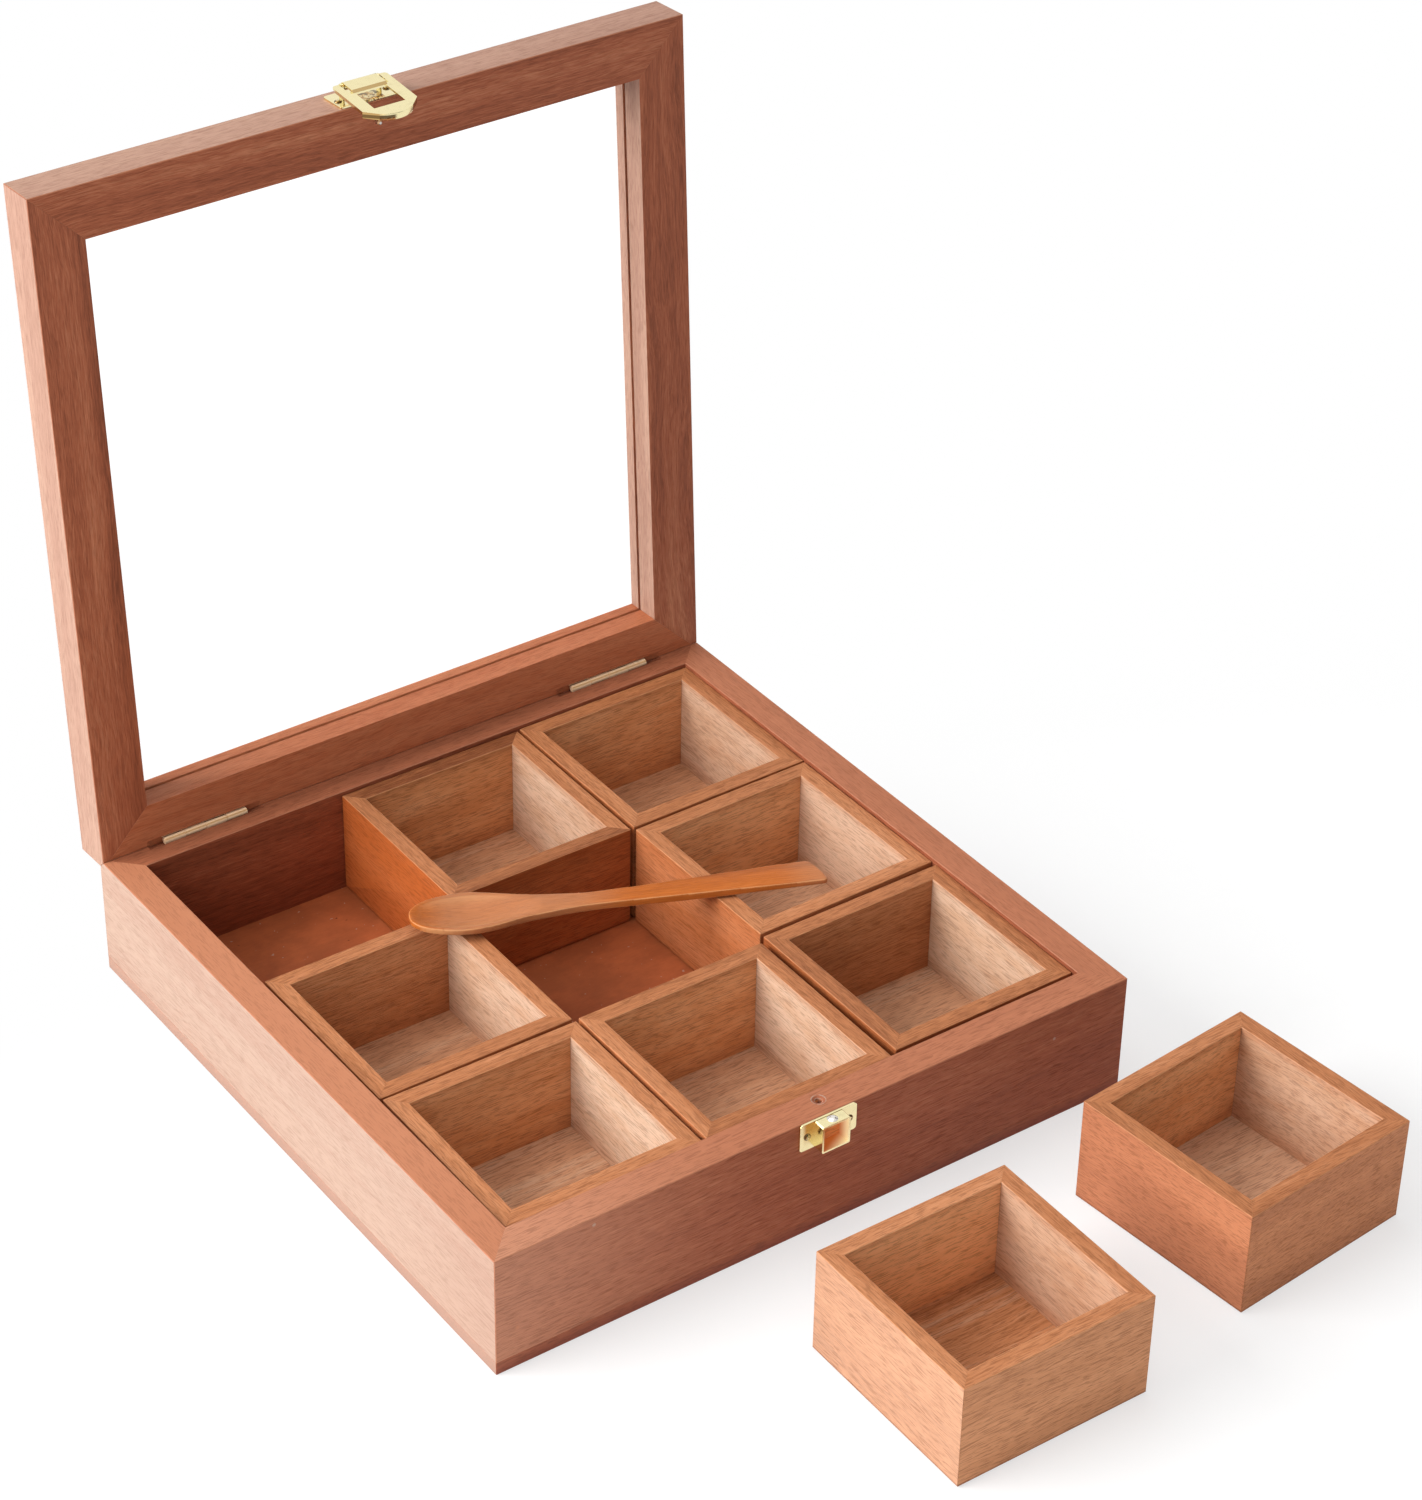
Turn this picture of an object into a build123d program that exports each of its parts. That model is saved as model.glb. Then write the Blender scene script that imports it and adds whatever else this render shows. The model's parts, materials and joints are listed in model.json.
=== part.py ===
from build123d import *
from math import cos, degrees, radians, sin, sqrt, tan
import os

os.makedirs("parts", exist_ok=True)

# The lid is drawn closed, so that what meets it lines up, and is swung open when it is saved.

# Case
case_width = 250.0
case_height = 46.4
wall_thickness = 11.8
bottom_thickness = 5.0
edge_ease = 0.25
seam_ease = 0.05

# Lid
lid_thickness = 16.0
rail_width = 18.8
parting_gap = 0.2
open_angle = 93.24
glass_thickness = 2.0
glass_height = 10.2
glass_play = 0.1
glass_groove_depth = 4.0
glass_edge_play = 0.4

# Hinges
crease_inset = 2.6
hinge_length = 32.8
hinge_inset = 23.7
hinge_sheet = 0.55
hinge_pin_radius = 0.6
running_clearance = 0.05
knuckle_count = 4
knuckle_gap = 0.15
leaf_depth = 10.0
kerf_play = 0.05
barrel_room = 0.3
knuckle_relief = 0.25
recess_front_room = 0.7
cutter_radius = 14.0
cut_margin = 1.0

# Locating pin and its hole
locating_x = 2.4
locating_inset = 7.0
locating_pin_radius = 0.95
locating_pin_reach = 2.3
locating_pin_point = 0.5
locating_pin_seat = 6.0
locating_hole_play = 0.25
locating_hole_depth = 8.0
countersink_radius = 2.4
countersink_depth = 0.5

# Brass catch
catch_x = 0.8
catch_sheet = 0.7
catch_plate_width = 22.4
catch_corner = 1.1
block_width = 11.1
block_height = 10.6
block_reach = 5.0
block_below_rim = 0.4
keeper_plate_height = 10.6
keeper_plate_below_rim = 0.2
bump_radius = 1.9
bump_height = 0.6
bump_setback = 2.4
base_plate_height = 11.8
base_plate_above_edge = 0.6
catch_pin_height = 6.9
catch_pin_radius = 0.6
barrel_standoff = 2.8
window_side_play = 0.35
window_end_play = 0.7
tongue_width = 13.0
slit_width = 1.1
slit_margin = 1.1
tongue_rise = 0.7
hasp_width = 20.8
rail_end_rise = 0.6
rail_corner = 1.3
rail_skirt_end = 11.0
nose_shoulder = 6.0
nose_taper_half_width = 6.3
nose_taper_end = 10.0
nose_length = 12.0
lip_height = 2.3
skirt_height = 1.2
hasp_droop = 7.0
ear_side_play = 0.2
ear_radius = 1.15
pin_end_reach = 0.1

# Round-headed nails
nail_shank_radius = 0.6
nail_head_radius = 1.35
nail_head_height = 0.6
nail_head_crown = 0.7
nail_head_edge = 0.3
nail_length = 6.0
keeper_nail_inset = 2.85
base_nail_inset = 2.0
base_nail_height = 5.7

# Cups
cup_wall = 6.2
cup_base_thickness = 2.5
cup_rim_below_case = 1.4
cup_play = 2.0
cup_foot_ease = 0.6
cup_rim_ease = 0.2
near_cup_front = 81.8
near_cup_x = -0.4
near_cup_turn = -0.37
far_cup_front = 68.35
far_cup_x = 117.15
far_cup_turn = 5.42

# Spoon
spoon_length = 144.8
spoon_tip_x = -57.2
spoon_tip_y = 32.3
spoon_turn = -21.6
spoon_rest_gap = 0.3
nose_flat = 2.0
nose_lift = 0.4
bowl_width = 21.4
bowl_height = 5.2
bowl_depth = 3.0
bowl_front_depth = 1.9
bowl_back_depth = 1.8
bowl_rim = 1.7
bowl_edge = 2.2
bowl_keel = 1.0
bowl_front_at = 6.7
bowl_widest_at = 20.0
bowl_back_at = 33.6
shoulder_width = 12.0
shoulder_at = 42.0
neck_width = 7.3
neck_at = 64.0
neck_thickness = 3.4
neck_rise = 0.9
grip_width = 9.8
grip_at = 106.0
grip_thickness = 3.5
handle_end_width = 12.2
handle_end_thickness = 2.6
handle_end_lift = 0.3
handle_end_slant = 20.0
handle_corner = 1.6
handle_belly = 0.6
handle_crown = 0.3
spoon_crook = 1.0

# Derived sizes
half = case_width / 2
inner_half = half - wall_thickness
lid_low = case_height + parting_gap
lid_high = lid_low + lid_thickness
pivot_y = half - crease_inset
pivot_z = case_height + parting_gap / 2
hinge_barrel_radius = hinge_pin_radius + running_clearance + hinge_sheet
recess_depth = hinge_barrel_radius + barrel_room - parting_gap / 2
recess_front = pivot_y - hinge_barrel_radius - recess_front_room
bevel_drop = crease_inset * tan(radians(open_angle / 2))
catch_bore_radius = catch_pin_radius + running_clearance
catch_barrel_radius = catch_bore_radius + catch_sheet
catch_pin_offset = catch_sheet + barrel_standoff + catch_barrel_radius
catch_pin_y = -half - catch_pin_offset
catch_pin_z = lid_low + catch_pin_height
block_top = case_height - block_below_rim
block_middle = block_top - block_height / 2
keeper_plate_top = case_height - keeper_plate_below_rim
keeper_nail_offset = catch_plate_width / 2 - keeper_nail_inset
keeper_nail_z = keeper_plate_top - keeper_plate_height / 2
base_nail_offset = catch_plate_width / 2 - base_nail_inset
base_nail_z = lid_low + base_nail_height
locating_y = -half + locating_inset
slot_pitch = 2 * inner_half / 3
cup_width = slot_pitch - cup_play
cup_height = case_height - bottom_thickness - cup_rim_below_case
cup_rim_z = bottom_thickness + cup_height

lid_swing = Location((0, pivot_y, pivot_z)) * Location((0, 0, 0), (-open_angle, 0, 0))
lid_place = lid_swing * Location((0, -pivot_y, -pivot_z))
hasp_swing = Location((0, catch_pin_y, catch_pin_z)) * Location((0, 0, 0), (hasp_droop, 0, 0))
hasp_place = lid_place * hasp_swing * Location((0, -catch_pin_y, -catch_pin_z))


def save(part, name, place=Location()):
    """Write one named piece, moved from where it was drawn to where it rests."""
    placed = place * part
    placed.label = name
    export_step(placed, f"parts/{name}.step")


def mitred_board(turn, outside, thickness, low, high, top_ease, foot_ease):
    """One side of a mitred square frame, turned in quarters from the front side."""
    side = Location((0, 0, 0), (0, 0, 90 * turn))
    with BuildPart() as board:
        with BuildSketch(Plane.YZ) as section:
            with BuildLine():
                Polyline(
                    (-outside + foot_ease, low),
                    (-outside + thickness, low),
                    (-outside + thickness, high - top_ease),
                    (-outside + thickness - top_ease, high),
                    (-outside + top_ease, high),
                    (-outside, high - top_ease),
                    (-outside, low + foot_ease),
                    close=True,
                )
            make_face()
        extrude(amount=outside, both=True)
        with BuildSketch(Plane.XY.offset(low)) as plan:
            with BuildLine():
                Polyline(
                    (-outside + top_ease, -outside),
                    (outside - top_ease, -outside),
                    (outside - top_ease / 2, -outside + top_ease / 2),
                    (outside - thickness, -outside + thickness),
                    (-outside + thickness, -outside + thickness),
                    (-outside + top_ease / 2, -outside + top_ease / 2),
                    close=True,
                )
            make_face()
        extrude(amount=high - low, mode=Mode.INTERSECT)
    return side * board.part


def case_board(turn):
    """A case wall, which stands on the bottom panel."""
    return mitred_board(turn, half, wall_thickness, bottom_thickness, case_height, edge_ease, seam_ease)


def lid_rail(turn):
    """A lid rail with the groove that holds the glass."""
    groove_half = half - rail_width + glass_groove_depth
    with BuildPart() as rail:
        add(mitred_board(turn, half, rail_width, lid_low, lid_high, edge_ease, edge_ease))
        groove_low = lid_low + glass_height - glass_thickness / 2 - glass_play
        with BuildSketch(Plane.XY.offset(groove_low)) as groove:
            Rectangle(2 * groove_half, 2 * groove_half)
        extrude(amount=glass_thickness + 2 * glass_play, mode=Mode.SUBTRACT)
    return rail.part


def rear_bevel(meeting_z, drop):
    """The wedge planed off at the crease, so that the open lid leans back on the case."""
    with BuildPart() as wedge:
        with BuildSketch(Plane.YZ.offset(-half - cut_margin)) as profile:
            with BuildLine():
                Polyline(
                    (pivot_y, meeting_z),
                    (half + cut_margin, meeting_z + drop * (crease_inset + cut_margin) / crease_inset),
                    (half + cut_margin, meeting_z - drop),
                    (pivot_y, meeting_z - drop),
                    close=True,
                )
            make_face()
        extrude(amount=2 * (half + cut_margin))
    return wedge.part


def hinge_recess(centre_x, meeting_z, way):
    """The recess round a barrel, as a milling disc leaves it between its two end positions."""
    travel = hinge_length / 2 + barrel_room
    axis_z = meeting_z + way * (recess_depth - cutter_radius)
    with BuildPart() as recess:
        with BuildSketch(Plane.XZ.offset(-half - cut_margin)) as sweep_of_disc:
            with Locations((centre_x - travel, axis_z), (centre_x + travel, axis_z)):
                Circle(cutter_radius)
            with Locations((centre_x, axis_z)):
                Rectangle(2 * travel, 2 * cutter_radius)
        extrude(amount=half + cut_margin - recess_front)
    return recess.part


def leaf_kerf(centre_x, meeting_z, way):
    """The saw kerf that a leaf is glued into."""
    leaf_front = pivot_y - hinge_barrel_radius
    with BuildPart() as kerf:
        with BuildSketch(Plane.XY.offset(meeting_z - way * cut_margin)) as slot:
            with Locations((centre_x, leaf_front + hinge_sheet / 2)):
                Rectangle(hinge_length + 2 * kerf_play, hinge_sheet + 2 * kerf_play)
        extrude(amount=way * (leaf_depth + cut_margin - parting_gap / 2 + kerf_play))
    return kerf.part


def hinge_leaf(centre_x, first_knuckle, way, bore_radius):
    """A sheet leaf whose tabs roll into every other knuckle round the pin."""
    left = centre_x - hinge_length / 2
    pitch = hinge_length / knuckle_count
    relief = hinge_barrel_radius + knuckle_relief
    leaf_middle = pivot_y - hinge_barrel_radius + hinge_sheet / 2
    with BuildPart() as leaf:
        with BuildSketch(Plane.YZ.offset(left)) as sheet:
            with Locations((leaf_middle, pivot_z + way * (leaf_depth + relief) / 2)):
                Rectangle(hinge_sheet, leaf_depth - relief)
        extrude(amount=hinge_length)
        for knuckle in range(first_knuckle, knuckle_count, 2):
            with BuildSketch(Plane.YZ.offset(left + knuckle * pitch + knuckle_gap / 2)) as roll:
                with Locations((pivot_y, pivot_z)):
                    Circle(hinge_barrel_radius)
                with Locations((leaf_middle, pivot_z + way * relief / 2)):
                    Rectangle(hinge_sheet, relief)
                with Locations((pivot_y, pivot_z)):
                    Circle(bore_radius, mode=Mode.SUBTRACT)
            extrude(amount=pitch - knuckle_gap)
    return leaf.part


def hinge_pin(centre_x):
    """The wire through all of a hinge's knuckles."""
    with BuildPart() as pin:
        with BuildSketch(Plane.YZ.offset(centre_x - hinge_length / 2)) as wire:
            with Locations((pivot_y, pivot_z)):
                Circle(hinge_pin_radius)
        extrude(amount=hinge_length)
    return pin.part


def nail(x, z):
    """A round-headed nail driven through a catch plate into the wood behind it."""
    seat = -half - catch_sheet
    with BuildPart() as driven:
        with BuildSketch(Plane.YZ.offset(x)) as profile:
            with BuildLine():
                Polyline(
                    (seat - nail_head_height, z),
                    (seat + nail_length, z),
                    (seat + nail_length, z + nail_shank_radius),
                    (seat, z + nail_shank_radius),
                    (seat, z + nail_head_radius),
                    (seat - nail_head_edge, z + nail_head_radius - nail_head_edge / 2),
                    (seat - nail_head_height, z + nail_head_crown),
                    close=True,
                )
            make_face()
        revolve(axis=Axis((x, 0, z), (0, 1, 0)))
    return driven.part


def nail_holes(offset, z, depth):
    """The pilot holes for a pair of nails."""
    with BuildPart() as holes:
        with BuildSketch(Plane.XZ.offset(half + catch_sheet)) as pair:
            with Locations((catch_x - offset, z), (catch_x + offset, z)):
                Circle(nail_shank_radius)
        extrude(amount=-depth)
    return holes.part


hinge_offset = half - hinge_inset - hinge_length / 2
hinge_centres = {"left": -hinge_offset, "right": hinge_offset}

# Case walls and bottom
with BuildPart() as case_bottom_panel:
    with BuildSketch() as footprint:
        Rectangle(case_width, case_width)
        chamfer(footprint.vertices(), edge_ease)
    extrude(amount=bottom_thickness)
    chamfer(case_bottom_panel.faces().sort_by(Axis.Z)[0].edges(), edge_ease)

with BuildPart() as case_front_wall:
    add(case_board(0))
    add(nail_holes(keeper_nail_offset, keeper_nail_z, nail_length), mode=Mode.SUBTRACT)
    with BuildSketch(Plane.XY.offset(case_height)) as hole_mouth:
        with Locations((locating_x, locating_y)):
            Circle(countersink_radius)
    with BuildSketch(Plane.XY.offset(case_height - countersink_depth)) as hole_throat:
        with Locations((locating_x, locating_y)):
            Circle(locating_pin_radius + locating_hole_play)
    loft(mode=Mode.SUBTRACT)
    with BuildSketch(Plane.XY.offset(case_height)) as locating_hole:
        with Locations((locating_x, locating_y)):
            Circle(locating_pin_radius + locating_hole_play)
    extrude(amount=-locating_hole_depth, mode=Mode.SUBTRACT)

with BuildPart() as case_right_wall:
    add(case_board(1))
    add(rear_bevel(case_height, -bevel_drop), mode=Mode.SUBTRACT)

with BuildPart() as case_left_wall:
    add(case_board(3))
    add(rear_bevel(case_height, -bevel_drop), mode=Mode.SUBTRACT)

with BuildPart() as case_back_wall:
    add(case_board(2))
    add(rear_bevel(case_height, -bevel_drop), mode=Mode.SUBTRACT)
    for centre_x in hinge_centres.values():
        add(hinge_recess(centre_x, case_height, -1), mode=Mode.SUBTRACT)
        add(leaf_kerf(centre_x, case_height, -1), mode=Mode.SUBTRACT)

# Lid frame, glass and locating pin
with BuildPart() as lid_front_rail:
    add(lid_rail(0))
    add(nail_holes(base_nail_offset, base_nail_z, nail_length), mode=Mode.SUBTRACT)
    with BuildSketch(Plane.XY.offset(lid_low)) as pin_seat:
        with Locations((locating_x, locating_y)):
            Circle(locating_pin_radius)
    extrude(amount=locating_pin_seat, mode=Mode.SUBTRACT)

with BuildPart() as lid_right_stile:
    add(lid_rail(1))
    add(rear_bevel(lid_low, bevel_drop), mode=Mode.SUBTRACT)

with BuildPart() as lid_left_stile:
    add(lid_rail(3))
    add(rear_bevel(lid_low, bevel_drop), mode=Mode.SUBTRACT)

with BuildPart() as lid_back_rail:
    add(lid_rail(2))
    add(rear_bevel(lid_low, bevel_drop), mode=Mode.SUBTRACT)
    for centre_x in hinge_centres.values():
        add(hinge_recess(centre_x, lid_low, 1), mode=Mode.SUBTRACT)
        add(leaf_kerf(centre_x, lid_low, 1), mode=Mode.SUBTRACT)

with BuildPart() as lid_glass:
    pane = 2 * (half - rail_width + glass_groove_depth - glass_edge_play)
    with BuildSketch(Plane.XY.offset(lid_low + glass_height - glass_thickness / 2)) as pane_outline:
        Rectangle(pane, pane)
    extrude(amount=glass_thickness)

with BuildPart() as lid_locating_pin:
    with BuildSketch(Plane.XY.offset(lid_low + locating_pin_seat)) as pin_wire:
        with Locations((locating_x, locating_y)):
            Circle(locating_pin_radius)
    extrude(amount=-locating_pin_seat - locating_pin_reach)
    pin_tip = lid_locating_pin.faces().sort_by(Axis.Z)[0]
    chamfer(pin_tip.edges(), locating_pin_point)

# Brass keeper on the case
with BuildPart() as catch_keeper:
    with BuildSketch(Plane.XZ.offset(half)) as keeper_plate:
        with Locations((catch_x, keeper_plate_top - keeper_plate_height / 2)):
            RectangleRounded(catch_plate_width, keeper_plate_height, catch_corner)
        with Locations((catch_x - keeper_nail_offset, keeper_nail_z)):
            Circle(nail_shank_radius, mode=Mode.SUBTRACT)
        with Locations((catch_x + keeper_nail_offset, keeper_nail_z)):
            Circle(nail_shank_radius, mode=Mode.SUBTRACT)
    extrude(amount=catch_sheet)
    with BuildSketch(Plane.XZ.offset(half)) as block:
        with Locations((catch_x, block_middle)):
            RectangleRounded(block_width, block_height, catch_sheet)
    extrude(amount=block_reach)
    with BuildSketch(Plane.XZ.offset(half)) as block_mouth:
        with Locations((catch_x, block_middle)):
            Rectangle(block_width - 2 * catch_sheet, block_height - 2 * catch_sheet)
    extrude(amount=block_reach, mode=Mode.SUBTRACT)
    bump_y = -half - block_reach + bump_setback
    with BuildSketch(Plane.XZ.offset(-bump_y)) as bump:
        with BuildLine():
            Line((catch_x, block_top - catch_sheet / 2), (catch_x, block_top + bump_height))
            RadiusArc(
                (catch_x, block_top + bump_height),
                (catch_x + bump_radius, block_top),
                (bump_radius**2 + bump_height**2) / (2 * bump_height),
            )
            Line((catch_x + bump_radius, block_top), (catch_x + bump_radius, block_top - catch_sheet / 2))
            Line((catch_x + bump_radius, block_top - catch_sheet / 2), (catch_x, block_top - catch_sheet / 2))
        make_face()
    revolve(axis=Axis((catch_x, bump_y, 0), (0, 0, 1)))

# Brass base plate of the catch on the lid, with two ears that hold the pin
ear_x = tongue_width / 2 + slit_width / 2
ear_thickness = slit_width - 2 * ear_side_play
with BuildPart() as catch_base_plate:
    base_plate_middle = lid_low + base_plate_above_edge + base_plate_height / 2
    with BuildSketch(Plane.XZ.offset(half)) as base_plate:
        with Locations((catch_x, base_plate_middle)):
            RectangleRounded(catch_plate_width, base_plate_height, catch_corner)
        with Locations((catch_x - base_nail_offset, base_nail_z)):
            Circle(nail_shank_radius, mode=Mode.SUBTRACT)
        with Locations((catch_x + base_nail_offset, base_nail_z)):
            Circle(nail_shank_radius, mode=Mode.SUBTRACT)
    extrude(amount=catch_sheet)
    for ear_side in (-1, 1):
        with BuildSketch(Plane.YZ.offset(catch_x + ear_side * ear_x - ear_thickness / 2)) as ear:
            with Locations((catch_pin_y, catch_pin_z)):
                Circle(ear_radius)
            with Locations((-half - catch_pin_offset / 2, catch_pin_z)):
                Rectangle(catch_pin_offset, 2 * ear_radius)
            with Locations((catch_pin_y, catch_pin_z)):
                Circle(catch_pin_radius, mode=Mode.SUBTRACT)
        extrude(amount=ear_thickness)

with BuildPart() as catch_pin:
    pin_reach = ear_x + ear_thickness / 2 + pin_end_reach
    with BuildSketch(Plane.YZ.offset(catch_x - pin_reach)) as catch_wire:
        with Locations((catch_pin_y, catch_pin_z)):
            Circle(catch_pin_radius)
    extrude(amount=2 * pin_reach)

# Brass hasp, drawn hanging straight down over the keeper
window_width = block_width + 2 * window_side_play
window_height = block_height + 2 * window_end_play
tongue_outer = catch_pin_offset + catch_barrel_radius
tongue_inner = tongue_outer - catch_sheet
hasp_outer = tongue_outer - tongue_rise
hasp_inner = hasp_outer - catch_sheet
window_top = block_middle + window_height / 2
slit_low = window_top + slit_margin


def hasp_outline():
    """The rails and nose of the hasp, drawn round the middle of its window."""
    rail_end = catch_pin_z + rail_end_rise - block_middle
    with BuildSketch() as outline:
        with BuildLine():
            Line((-hasp_width / 2, -nose_shoulder), (-hasp_width / 2, rail_end))
            Line((-hasp_width / 2, rail_end), (hasp_width / 2, rail_end))
            Line((hasp_width / 2, rail_end), (hasp_width / 2, -nose_shoulder))
            Line((hasp_width / 2, -nose_shoulder), (nose_taper_half_width, -nose_taper_end))
            ThreePointArc(
                (nose_taper_half_width, -nose_taper_end),
                (0, -nose_length),
                (-nose_taper_half_width, -nose_taper_end),
            )
            Line((-nose_taper_half_width, -nose_taper_end), (-hasp_width / 2, -nose_shoulder))
        make_face()
        fillet(outline.vertices().group_by(Axis.Y)[-1], rail_corner)
    return Location((catch_x, block_middle)) * outline.sketch


with BuildPart() as catch_hasp:
    with BuildSketch(Plane.XZ.offset(half + hasp_inner)) as hasp_plate:
        add(hasp_outline())
        slit_top = catch_pin_z + catch_barrel_radius
        with Locations((catch_x, (slit_low + slit_top) / 2)):
            Rectangle(tongue_width + 2 * slit_width, slit_top - slit_low, mode=Mode.SUBTRACT)
        with Locations((catch_x, block_middle)):
            Rectangle(window_width, window_height, mode=Mode.SUBTRACT)
    extrude(amount=catch_sheet)
    with BuildSketch(Plane.YZ.offset(catch_x - tongue_width / 2)) as tongue_roll:
        with Locations((catch_pin_y, catch_pin_z)):
            Circle(catch_barrel_radius)
            Circle(catch_bore_radius, mode=Mode.SUBTRACT)
        with BuildLine():
            Polyline(
                (-half - hasp_inner, window_top),
                (-half - hasp_outer, window_top),
                (-half - tongue_outer, slit_low),
                (-half - tongue_outer, catch_pin_z),
                (-half - tongue_inner, catch_pin_z),
                (-half - tongue_inner, slit_low + tongue_rise),
                (-half - hasp_inner, slit_low),
                close=True,
            )
        make_face()
    extrude(amount=tongue_width)
    with BuildSketch(Plane.XZ.offset(half + hasp_outer - lip_height)) as lip:
        add(hasp_outline())
        offset(amount=-catch_sheet, mode=Mode.SUBTRACT)
        with Locations((catch_x, block_middle - nose_shoulder - hasp_width / 2)):
            Rectangle(2 * hasp_width, hasp_width, mode=Mode.INTERSECT)
    extrude(amount=lip_height)
    with BuildSketch(Plane.XZ.offset(half + hasp_outer - skirt_height)) as skirts:
        add(hasp_outline())
        offset(amount=-catch_sheet, mode=Mode.SUBTRACT)
        with Locations((catch_x, block_middle + (rail_skirt_end - nose_shoulder) / 2)):
            Rectangle(2 * hasp_width, rail_skirt_end + nose_shoulder, mode=Mode.INTERSECT)
    extrude(amount=skirt_height)

# Hinge leaves and pins
for side_name, centre_x in hinge_centres.items():
    save(hinge_leaf(centre_x, 0, -1, hinge_pin_radius), f"{side_name}_hinge_case_leaf")
    save(
        hinge_leaf(centre_x, 1, 1, hinge_pin_radius + running_clearance),
        f"{side_name}_hinge_lid_leaf",
        lid_place,
    )
    save(hinge_pin(centre_x), f"{side_name}_hinge_pin")

# Nails, each pair one node
with BuildPart() as catch_keeper_nails:
    add(nail(catch_x - keeper_nail_offset, keeper_nail_z))
    add(nail(catch_x + keeper_nail_offset, keeper_nail_z))

with BuildPart() as catch_base_nails:
    add(nail(catch_x - base_nail_offset, base_nail_z))
    add(nail(catch_x + base_nail_offset, base_nail_z))

# One cup, drawn on its own foot
def cup_board(turn):
    """A cup wall."""
    return mitred_board(turn, cup_width / 2, cup_wall, 0, cup_height, cup_rim_ease, cup_foot_ease)


with BuildPart() as cup_side_walls:
    add(cup_board(1))
    add(cup_board(3))

with BuildPart() as cup_end_walls:
    add(cup_board(0))
    add(cup_board(2))

with BuildPart() as cup_base:
    with BuildSketch() as cup_floor:
        Rectangle(cup_width - 2 * cup_wall, cup_width - 2 * cup_wall)
    extrude(amount=cup_base_thickness)


def in_slot(column, row, push_x, push_y, twist):
    """Where a cup stands in its slot, pushed and twisted by shares of the free play."""
    turn = degrees(twist * cup_play / cup_width)
    x = column * slot_pitch + push_x * cup_play
    y = row * slot_pitch + push_y * cup_play
    return Location((x, y, bottom_thickness), (0, 0, turn))


cup_places = {
    "front_left_cup": in_slot(-1, -1, 0.13, -0.19, -0.5),
    "front_middle_cup": in_slot(0, -1, -0.05, -0.2, -0.3),
    "front_right_cup": in_slot(1, -1, 0.38, 0.8, -0.1),
    "middle_left_cup": in_slot(-1, 0, 0.25, -0.6, -0.2),
    "middle_right_cup": in_slot(1, 0, 0.3, 0.75, 0.2),
    "back_middle_cup": in_slot(0, 1, 0.65, 0.25, -0.3),
    "back_right_cup": in_slot(1, 1, 0.4, 0.35, -0.1),
    "near_loose_cup": Location((near_cup_x, -half - near_cup_front, 0), (0, 0, near_cup_turn)),
    "far_loose_cup": Location((far_cup_x, -half - far_cup_front, 0), (0, 0, far_cup_turn)),
}

for cup_name, cup_place in cup_places.items():
    save(cup_side_walls.part, f"{cup_name}_side_walls", cup_place)
    save(cup_end_walls.part, f"{cup_name}_end_walls", cup_place)
    save(cup_base.part, f"{cup_name}_base", cup_place)

# Spoon, drawn along X from its tip, with the height of the cups' rims as zero
handle_end = spoon_length - handle_end_width / 2 * tan(radians(handle_end_slant))
underside = [
    (0, bowl_height + nose_lift - bowl_edge),
    (bowl_front_at, bowl_keel),
    (bowl_widest_at, 0),
    (neck_at, neck_rise),
    (grip_at, 0),
    (handle_end, handle_end_lift),
]
side_foot = [
    (0, bowl_height + nose_lift - bowl_edge + seam_ease),
    (bowl_widest_at, bowl_height - bowl_edge),
    (neck_at, neck_rise + handle_belly),
    (grip_at, handle_belly),
    (handle_end, handle_end_lift + handle_belly),
]
topside = [
    (0, bowl_height + nose_lift),
    (bowl_widest_at, bowl_height),
    (neck_at, neck_rise + neck_thickness),
    (grip_at, grip_thickness),
    (handle_end, handle_end_lift + handle_end_thickness),
]
hollow_depth = [
    (0, seam_ease),
    (bowl_front_at, bowl_front_depth),
    (bowl_widest_at, bowl_depth),
    (bowl_back_at, bowl_back_depth),
    (shoulder_at + bowl_rim, seam_ease),
]
edge_reach = [
    (bowl_widest_at, bowl_width / 2),
    (shoulder_at, shoulder_width / 2),
    (neck_at, neck_width / 2),
    (grip_at, grip_width / 2),
    (handle_end, handle_end_width / 2),
]
crook = [(0, 0), (neck_at, -spoon_crook), (handle_end, 0)]


def value_at(stations, at):
    """The value at one place along the spoon, on a smooth curve that never swings past its stations."""
    if at >= stations[-1][0]:
        return stations[-1][1]
    rises = [(last[1] - first[1]) / (last[0] - first[0]) for first, last in zip(stations, stations[1:])]
    bends = [2 * fore * aft / (fore + aft) if fore * aft > 0 else 0 for fore, aft in zip(rises, rises[1:])]
    slopes = [0, *bends, 0]
    piece = sum(place <= at for place, value in stations) - 1
    start, start_value = stations[piece]
    end, end_value = stations[piece + 1]
    share = (at - start) / (end - start)
    lean = (slopes[piece] * (1 - share) - slopes[piece + 1] * share) * (end - start)
    return start_value + (end_value - start_value) * share**2 * (3 - 2 * share) + share * (1 - share) * lean


def half_width(at):
    """From the spoon's middle line to its edge: a round nose, then the stations, then a round corner."""
    if at < bowl_widest_at:
        round_nose = sqrt(1 - (1 - at / bowl_widest_at) ** 2)
        return nose_flat / 2 + (bowl_width - nose_flat) / 2 * round_nose
    into_corner = max(0, at - handle_end + handle_corner)
    return value_at(edge_reach, at) - handle_corner + sqrt(handle_corner**2 - into_corner**2)


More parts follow.
